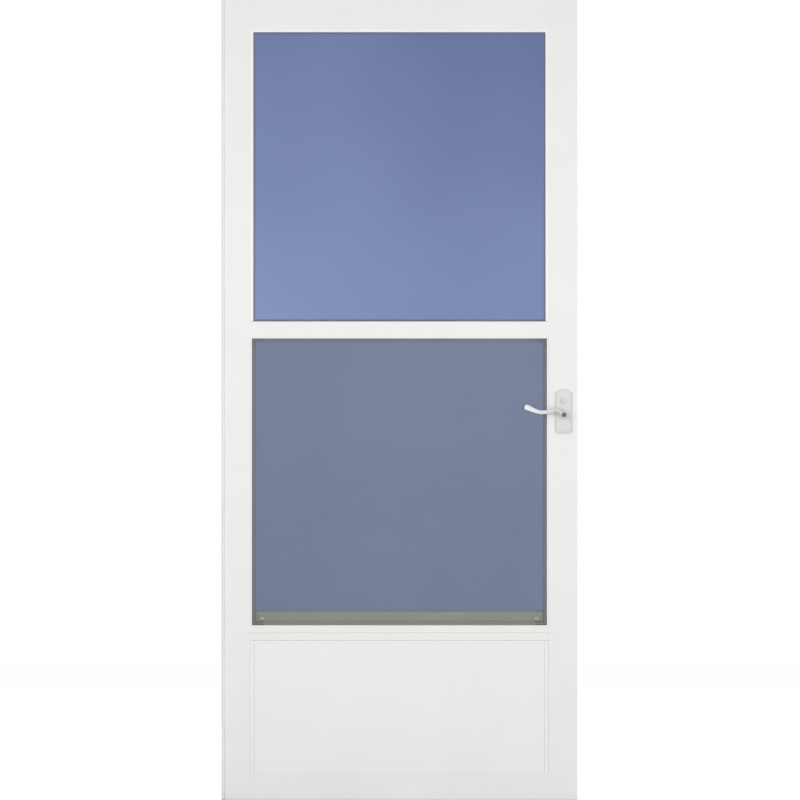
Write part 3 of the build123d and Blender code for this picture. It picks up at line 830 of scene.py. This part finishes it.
@dataclass
class ScreenTrim:
    """Retaining cord round the screen, its corner keys and the pull tabs at its lower corners."""

    palette: Palette
    cord_radius: float = 1.5 * MM
    cord_inset: float = 3.4 * MM
    cord_sink: float = 0.4
    cord_around: int = 10
    cord_smooth: float = 60.0
    tab_size: tuple[float, float, float] = (14 * MM, 1.2 * MM, 8 * MM)
    tab_inset: float = 18 * MM
    tab_rise: float = 5 * MM
    tab_setback: float = 1 * MM
    key_legs: tuple[float, float] = (22 * MM, 12 * MM)
    key_width: float = 7.6 * MM
    key_proud: float = 0.5 * MM

    def build(self) -> None:
        """Builds the cord, the keys and the tabs."""
        low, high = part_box("insect_screen")
        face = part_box("screen_stiles")[0].y
        angle = np.linspace(0.0, 2.0 * math.pi, self.cord_around, endpoint=False)
        section = np.stack((self.cord_radius * np.cos(angle) - self.cord_inset,
                            face + self.cord_radius * (self.cord_sink + np.sin(angle))), -1)
        cord = mitred(section, (low.x, low.z), (high.x, high.z))
        place("screen_cord", cord, Body.LEAF, self.palette.screen_rail,
              smooth=self.cord_smooth)
        keys = self.keys(low, high, face)
        place("screen_corner_keys", keys, Body.LEAF, self.palette.corner_key)
        width, depth, height = self.tab_size
        centres = np.array([low.x + self.tab_inset, high.x - self.tab_inset])
        seat, foot = face + self.tab_setback, low.z + self.tab_rise
        tab_low = xyz(centres - width / 2, seat, foot)
        tab_high = tab_low + (width, depth, height)
        place("screen_pull_tabs", boxes(tab_low, tab_high), Body.LEAF, self.palette.tab)

    def keys(self, low: Vector, high: Vector, face: float) -> Surface:
        """Corner keys: at each corner an L of two bars, which run out from it by key_legs.

        Args:
            low: lowest corner of the cloth.
            high: highest corner of the cloth.
            face: y of the frame's front.

        Returns:
            The bars of the four keys.
        """
        level, upright = self.key_legs
        corners = np.array([(x, z) for x in (low.x, high.x) for z in (low.z, high.z)])
        out = np.array([(x, z) for x in (-1.0, 1.0) for z in (-1.0, 1.0)])
        width = self.key_width
        first = np.vstack((corners + out * width, corners + out * (width, 0.0)))
        second = np.vstack((corners - out * (level, 0.0), corners - out * (0.0, upright)))
        lowest, highest = np.minimum(first, second), np.maximum(first, second)
        front, back = face - self.key_proud, face + self.key_proud
        return boxes(xyz(lowest[:, 0], front, lowest[:, 1]),
                     xyz(highest[:, 0], back, highest[:, 1]))


@dataclass
class GlazingBeads:
    """Bead with a rolled face and mitred corners round the upper lite."""

    palette: Palette
    roll: float = 0.62
    roll_drop: float = 0.75
    roll_steps: int = 7
    land_width: float = 0.16
    land_drop: float = 0.12
    smooth: float = 40.0

    def section(self, width: float, back: float, front: float) -> np.ndarray:
        """Section: a flat outer land, a raised roll and a slope down to the glass.

        Args:
            width: width of the bead.
            back: y of its back.
            front: y of its front.

        Returns:
            Rows of inset and y round the section.
        """
        depth = back - front
        turn = np.linspace(0.0, math.pi / 2, self.roll_steps)
        roll_inset = width * (self.roll + (1 - self.roll) * np.sin(turn))
        roll_y = front + depth * self.roll_drop * (1 - np.cos(turn))
        land = [[0.0, front + depth * self.land_drop], [width * self.land_width, front]]
        start = np.array([[0.0, back], *land])
        end = np.array([[width, back]])
        return np.vstack((start, np.stack((roll_inset, roll_y), -1), end))

    def build(self) -> None:
        """Builds the upper bead, whose foot lies flat on the top of the meeting rail."""
        low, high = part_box("upper_top_bead")
        side_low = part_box("upper_side_beads")[0]
        width = high.z - low.z
        section = self.section(width, high.y, low.y)
        whole = mitred(section, (low.x, side_low.z - width), (high.x, high.z))
        whole.vertices[:, 2] = np.maximum(whole.vertices[:, 2], side_low.z)
        place("upper_bead_frame", whole, Body.LEAF, self.palette.by_slot[Slot.BEAD],
              replaces=("upper_top_bead", "upper_side_beads"), smooth=self.smooth)


@dataclass
class Lever:
    """Waved lever with a round hub and neck, outside and mirrored inside.

    The wave's rows are x and z from the hub, half height and half depth, and the rows of hub and
    screw are radius and height from the seat, all in millimetres.
    """

    palette: Palette
    wave: tuple[tuple[float, float, float, float], ...] = (
        (2.0, 0.5, 6.4, 5.6), (-8.0, 6.2, 6.4, 5.6), (-20.6, 13.4, 6.1, 5.2),
        (-37.3, 8.7, 5.5, 5.0), (-57.9, 6.4, 5.2, 4.9), (-75.9, 11.0, 5.8, 5.0),
        (-90.0, 17.0, 7.0, 5.0), (-96.0, 19.3, 7.2, 5.0),
    )
    hub: tuple[tuple[float, float], ...] = (
        (8.0, 0.0), (8.0, 20.2), (9.5, 20.8), (9.5, 32.6), (9.2, 33.8), (8.2, 34.8), (7.0, 35.2),
        (6.2, 34.8), (6.0, 33.4), (0.6, 33.4),
    )
    screw: tuple[tuple[float, float], ...] = (
        (5.6, 33.4), (5.6, 34.0), (5.2, 34.4), (2.6, 34.4), (2.4, 33.6), (0.4, 33.6),
    )
    hub_proud: float = 2 * MM
    half_depth: float = 5 * MM
    squareness: float = 0.8
    tip_reach: float = 0.95
    tip_rings: int = 8
    around: int = 28
    steps: int = 8
    hub_around: int = 40
    smooth: float = 42.0

    def arm(self, centre: np.ndarray) -> Surface:
        """Arm: section = centre + h S(cos t) n + d S(sin t) y along the wave, S(v) = sgn(v)|v|^0.8.

        Args:
            centre: hub centre on the arm's middle plane.

        Returns:
            The closed surface.
        """
        rows = smooth_through(np.array(self.wave) * MM, self.steps)
        tangent = np.gradient(rows[:, :2], axis=0)
        tangent /= np.linalg.norm(tangent, axis=1)[:, None]
        cap = np.linspace(0.0, 1.0, self.tip_rings)[1:-1]
        end = rows[-1]
        extra = np.repeat(end[None], len(cap), 0)
        extra[:, :2] += tangent[-1] * (cap * end[2] * self.tip_reach)[:, None]
        extra[:, 2:] *= np.sqrt(1 - cap**2)[:, None]
        rows = np.vstack((rows, extra))
        tangent = np.vstack((tangent, np.repeat(tangent[-1:], len(cap), 0)))
        angle = np.linspace(0.0, -2.0 * math.pi, self.around, endpoint=False)
        high = np.sign(np.cos(angle)) * np.abs(np.cos(angle)) ** self.squareness
        deep = np.sign(np.sin(angle)) * np.abs(np.sin(angle)) ** self.squareness
        x = rows[:, None, 0] - tangent[:, None, 1] * rows[:, None, 2] * high
        z = rows[:, None, 1] + tangent[:, None, 0] * rows[:, None, 2] * high
        y = rows[:, None, 3] * deep
        return loft(np.stack((x, y, z), -1) + centre)

    def build(self) -> None:
        """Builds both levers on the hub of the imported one."""
        hub_x, mid_y, hub_z = middle("spindle")
        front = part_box("outer_lever")[0].y + self.hub_proud
        centre = np.array((hub_x, front + self.half_depth, hub_z))
        seat = (hub_x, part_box("spindle")[0].y, hub_z)
        hub = turned(np.array(self.hub) * MM, seat, Facing.OUTSIDE, self.hub_around)
        lever = self.arm(centre).joined(hub)
        # The hub screw is dark as painted shade under the hub.
        head = turned(np.array(self.screw) * MM, seat, Facing.OUTSIDE)
        coat, steel = self.palette.lever, self.palette.hub_screw_shade
        place("outside_lever", lever, Body.LEVER, coat,
              replaces=("outer_lever",), smooth=self.smooth)
        place("inside_lever", lever.mirrored(mid_y), Body.LEVER, coat,
              replaces=("inner_lever",), smooth=self.smooth)
        place("outside_hub_screw", head, Body.LEVER, steel, smooth=TURNED_SMOOTH)
        place("inside_hub_screw", head.mirrored(mid_y), Body.LEVER, steel,
              smooth=TURNED_SMOOTH)


@dataclass
class LockDetails:
    """Collars on the plates, the plug of the key cylinder, and a black bar on the plug as the
    painted shade of its keyway.
    """

    palette: Palette
    collar_inner: float = 8.6 * MM
    collar_outer: float = 13.0 * MM
    collar_height: float = 2.4 * MM
    collar_bevel: float = 1 * MM
    collar_shoulder: float = 0.6
    collar_around: int = 48
    plug_radius: float = 6.2 * MM
    plug_height: float = 1 * MM
    plug_bevel: tuple[float, float] = (0.6 * MM, 0.3 * MM)
    plug_core: float = 0.5 * MM
    keyway_shade: tuple[float, float, float] = (1.1 * MM, 0.5 * MM, 6.4 * MM)
    keyway_front: float = 1.06 * MM

    def build(self) -> None:
        """Builds the collars, the plug and the keyway's painted shade."""
        hub_x, _, hub_z = middle("spindle")
        inner, outer, height = self.collar_inner, self.collar_outer, self.collar_height
        ring = np.array([(inner, 0.0), (outer, 0.0), (outer, height * self.collar_shoulder),
                         (outer - self.collar_bevel, height), (inner, height)])
        coat = self.palette.by_slot[Slot.HANDLE]
        for name, y, facing in (("outside_collar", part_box("outer_plate")[0].y, Facing.OUTSIDE),
                                ("inside_collar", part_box("inner_plate")[1].y, Facing.INSIDE)):
            closed = turned(ring, (hub_x, y, hub_z), facing, self.collar_around)
            closed.faces = closed.faces[:-2] + self.inner_wall(len(ring), self.collar_around)
            place(name, closed, Body.LEAF, coat, smooth=TURNED_SMOOTH)
        lock_x, _, lock_z = middle("lock_cylinder")
        lock_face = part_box("lock_cylinder")[0].y
        radius, top = self.plug_radius, self.plug_height
        side, edge = self.plug_bevel
        profile = np.array([(radius, 0.0), (radius, top - edge), (radius - side, top),
                            (self.plug_core, top)])
        plug = turned(profile, (lock_x, lock_face, lock_z), Facing.OUTSIDE)
        place("lock_plug", plug, Body.LEAF, self.palette.by_slot[Slot.STEEL],
              smooth=TURNED_SMOOTH)
        # The keyway is a black bar sunk in the plug's face: painted shade of the slot.
        width, _, tall = self.keyway_shade
        front = lock_face - self.keyway_front
        slot_low = np.array((lock_x - width / 2, front, lock_z - tall / 2))
        keyway_shade = boxes(slot_low, slot_low + self.keyway_shade)
        place("keyway_shade", keyway_shade, Body.LEAF, self.palette.recess_shade)

    @staticmethod
    def inner_wall(rows: int, around: int) -> list[list[int]]:
        """Faces that close a ring between its last and its first row.

        Args:
            rows: rows of the profile.
            around: points round each ring.

        Returns:
            The faces.
        """
        j = np.arange(around)
        k = (j + 1) % around
        last = (rows - 1) * around
        return np.stack((last + j, last + k, k, j), -1).tolist()


@dataclass
class Screws:
    """Pan-head screws, with a dark cross as the painted shade of their cross recess.

    The head's rows are shares of its radius and height. The painted cross's arms have a half length
    and half width as shares of the radius, and a level and half depth as shares of the height.
    """

    palette: Palette
    head_radius: float = 3.9 * MM
    head_height: float = 2.0 * MM
    head_rows: tuple[tuple[float, float], ...] = (
        (1.0, 0.0), (1.0, 0.35), (0.93, 0.68), (0.74, 0.9), (0.42, 1.0), (0.36, 0.94), (0.1, 0.35),
    )
    head_around: int = 24
    arm_length: float = 0.52
    arm_width: float = 0.1
    arm_level: float = 0.9
    arm_depth: float = 0.11
    rail_wall: float = 1.6 * MM
    rail_count: int = 6
    lowest: float = 120.0 * MM
    highest: float = 137.4 * MM
    header_inset: float = 160.0 * MM
    plate_foot: float = 12 * MM
    plate_top: float = 9 * MM
    expander_inset: float = 60 * MM
    expander_level: float = 14 * MM
    expander_count: int = 4

    def head(self, centre: tuple[float, float, float], facing: Facing) -> Surface:
        """Head: a low dome with a cone sunk in its middle.

        Args:
            centre: point on the seat.
            facing: direction that the head faces.

        Returns:
            The closed surface.
        """
        profile = np.array(self.head_rows) * (self.head_radius, self.head_height)
        return turned(profile, centre, facing, self.head_around)

    def cross(self, centre: tuple[float, float, float], facing: Facing) -> Surface:
        """Painted shade of the recess: two dark bars level with the top of the dome.

        Args:
            centre: point on the seat.
            facing: direction that the head faces.

        Returns:
            The bars.
        """
        axis, sign = facing.value
        others = [index for index in range(3) if index != axis]
        middle = np.array(centre, float)
        middle[axis] += sign * self.head_height * self.arm_level
        length, width = self.arm_length * self.head_radius, self.arm_width * self.head_radius
        half = np.full((2, 3), self.arm_depth * self.head_height)
        half[:, others] = ((length, width), (width, length))
        return boxes(middle - half, middle + half)

    def row(self, name: str, centres: list[tuple[float, float, float]], facing: Facing, body: Body,
            slot: Slot = Slot.STEEL) -> None:
        """Builds a row of like screws as one piece, with the painted shade of their recesses as
        another.

        Args:
            name: name of the row.
            centres: points on the seat.
            facing: direction that the heads face.
            body: body that they ride on.
            slot: slot of the heads.
        """
        # Each screw's cross of dark bars is painted shade for its recess.
        heads, recess_shade_bars = self.head(centres[0], facing), self.cross(centres[0], facing)
        for centre in centres[1:]:
            heads = heads.joined(self.head(centre, facing))
            recess_shade_bars = recess_shade_bars.joined(self.cross(centre, facing))
        place(name, heads, body, self.palette.by_slot[slot], smooth=TURNED_SMOOTH)
        place(f"{name}_recess_shades", recess_shade_bars, body, self.palette.recess_shade)

    def build(self) -> None:
        """Builds the screws of the rails, the plates and the bottom expander."""
        rail_low, rail_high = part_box("hinge_rail")
        far_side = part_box("latch_rail")[1].x
        web, far_web = rail_low.x + self.rail_wall, far_side - self.rail_wall
        heights = np.linspace(rail_low.z + self.lowest, rail_high.z - self.highest, self.rail_count)
        for name, x, facing in (("hinge_rail_screws", web, Facing.LATCH_SIDE),
                                ("latch_rail_screws", far_web, Facing.HINGE_SIDE)):
            self.row(name, [(x, 0.0, z) for z in heights.tolist()], facing, Body.FRAME, Slot.RAIL)
        header_web = rail_high.z - self.rail_wall
        spots = (rail_low.x + self.header_inset, far_side - self.header_inset)
        header = [(x, 0.0, header_web) for x in spots]
        self.row("header_rail_screws", header, Facing.DOWN, Body.FRAME, Slot.RAIL)
        plate_low, plate_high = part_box("inner_plate")
        ends = (plate_low.z + self.plate_foot, plate_high.z - self.plate_top)
        plate = [(middle("inner_plate")[0], plate_high.y, z) for z in ends]
        self.row("inner_plate_screws", plate, Facing.INSIDE, Body.LEAF, Slot.HANDLE)
        low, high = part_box("bottom_expander")
        inset = self.expander_inset
        across = np.linspace(low.x + inset, high.x - inset, self.expander_count)
        expander = [(x, high.y, self.expander_level) for x in across.tolist()]
        self.row("expander_screws", expander, Facing.INSIDE, Body.LEAF)


@dataclass(frozen=True)
class SoftLight:
    """A soft square light aimed at the door, with its power in watts."""

    name: str
    spot: tuple[float, float, float]
    size: float
    power: float


@dataclass
class Studio:
    """Pale floor, white surroundings, soft lights and the camera."""

    target: tuple[float, float, float] = (0.4587, -0.028, 1.0287)
    lens: float = 200.0
    sensor: float = 36.0
    picture_height: float = 2.0574
    far_clip: float = 100.0
    ambient: float = 0.52
    lights: tuple[SoftLight, ...] = (
        SoftLight("key", (-0.5, -2.9, 1.45), 1.3, 30.0),
        SoftLight("fill", (1.9, -3.0, 1.0), 2.2, 31.5),
        SoftLight("back", (0.4, 3.4, 2.4), 2.4, 68.0),
    )
    floor_reach: float = 6.0
    floor_level: float = -0.001
    floor_melt: tuple[float, float] = (0.9, 3.2)
    floor_glow: tuple[float, float] = (0.3, 0.95)
    floor_colour: Colour = (0.92, 0.92, 0.92)
    floor_far: Colour = (0.08, 0.08, 0.08)
    floor_bounce: Colour = (0.62, 0.62, 0.62)
    floor_grain: float = 3.0
    floor_mottle: float = 0.98
    floor_roughness: float = 0.9

    def build(self) -> None:
        """Builds the studio."""
        self.world()
        self.floor()
        for light in self.lights:
            self.add_light(light)
        self.camera()

    def world(self) -> None:
        """White where it is seen, and a dimmer ambient for diffuse light."""
        world = bpy.data.worlds.new("studio")
        world.use_nodes = True
        bpy.context.scene.world = world
        graph = Graph(world.node_tree)
        back = next(n for n in world.node_tree.nodes if n.type == "BACKGROUND")
        strength = graph.ramp(self.seen(graph), 0.0, 1.0, (self.ambient, 1.0))
        graph.feed(back, {"Color": WHITE, "Strength": strength})

    @staticmethod
    def seen(graph: Graph) -> bpy.types.NodeSocket:
        """Tells rays that show a thing, straight, mirrored or through glass, from diffuse ones.

        Args:
            graph: graph of a material or of the world.

        Returns:
            Socket with 1 on such rays and 0 on the others.
        """
        path = graph.node("ShaderNodeLightPath").outputs
        mirrored = graph.math("MAXIMUM", path["Is Camera Ray"], path["Is Glossy Ray"])
        return graph.math("MAXIMUM", mirrored, path["Is Transmission Ray"])

    def floor(self) -> None:
        """Pale floor under the sill, which melts into the white with distance."""
        mesh = bpy.data.meshes.new("floor")
        reach, level = self.floor_reach, self.floor_level
        corners = [(x * reach, y * reach, level) for x, y in ((-1, -1), (1, -1), (1, 1), (-1, 1))]
        mesh.from_pydata(corners, [], [[0, 1, 2, 3]])
        floor = bpy.data.objects.new("floor", mesh)
        bpy.context.scene.collection.objects.link(floor)
        material, graph, shader = principled("floor_paper")
        spot = graph.coordinates()
        noise = graph.noise(spot, Scale=self.floor_grain)
        dim = tuple(self.floor_mottle * part for part in self.floor_colour)
        distance = graph.node("ShaderNodeVectorMath", operation="DISTANCE")
        graph.link(spot, distance.inputs[0])
        distance.inputs[1].default_value = (self.target[0], 0.0, 0.0)
        melt = graph.ramp(distance.outputs["Value"], *self.floor_melt, (0.0, 1.0))
        glow = graph.ramp(melt, 0.0, 1.0, self.floor_glow)
        seen = self.seen(graph)
        near = graph.mix(noise.outputs[0], self.floor_colour, dim)
        paper = graph.mix(melt, near, self.floor_far)
        graph.feed(shader, {
            "Base Color": graph.mix(seen, self.floor_bounce, paper), "Specular IOR Level": 0.0,
            "Roughness": self.floor_roughness, "Emission Color": WHITE,
            "Emission Strength": graph.math("MULTIPLY", seen, glow)})
        mesh.materials.append(material)

    def add_light(self, light: SoftLight) -> None:
        """Adds a light, which the camera and the glass don't see.

        Args:
            light: the light.
        """
        data = bpy.data.lights.new(light.name, "AREA")
        data.shape = "SQUARE"
        data.size = light.size
        data.energy = light.power
        lamp = bpy.data.objects.new(light.name, data)
        lamp.location = light.spot
        toward = np.array(self.target) - np.array(light.spot)
        pitch = math.atan2(math.hypot(toward[0], toward[1]), -toward[2])
        lamp.rotation_euler = (pitch, 0.0, math.atan2(-toward[0], toward[1]))
        lamp.visible_camera = lamp.visible_glossy = lamp.visible_transmission = False
        bpy.context.scene.collection.objects.link(lamp)

    def camera(self) -> None:
        """Adds the straight-on camera, so far off that its height of view is the door's height."""
        data = bpy.data.cameras.new("camera")
        data.lens = self.lens
        data.sensor_width = self.sensor
        data.clip_end = self.far_clip
        camera = bpy.data.objects.new("camera", data)
        reach = self.picture_height * self.lens / self.sensor
        camera.location = (self.target[0], self.target[1] - reach, self.target[2])
        camera.rotation_euler = (math.pi / 2, 0.0, 0.0)
        bpy.context.scene.collection.objects.link(camera)
        bpy.context.scene.camera = camera


def main() -> None:
    """Builds the looks."""
    logging.basicConfig(level=logging.INFO, format="%(name)s %(message)s")
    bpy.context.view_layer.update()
    palette = Palette()
    for assembly in (CarriedOverParts, InsectScreen, ScreenTrim, GlazingBeads, Lever, LockDetails,
                     Screws):
        assembly(palette).build()
    Studio().build()
    bpy.context.scene.view_settings.view_transform = "Standard"


if __name__ == "__main__":
    main()
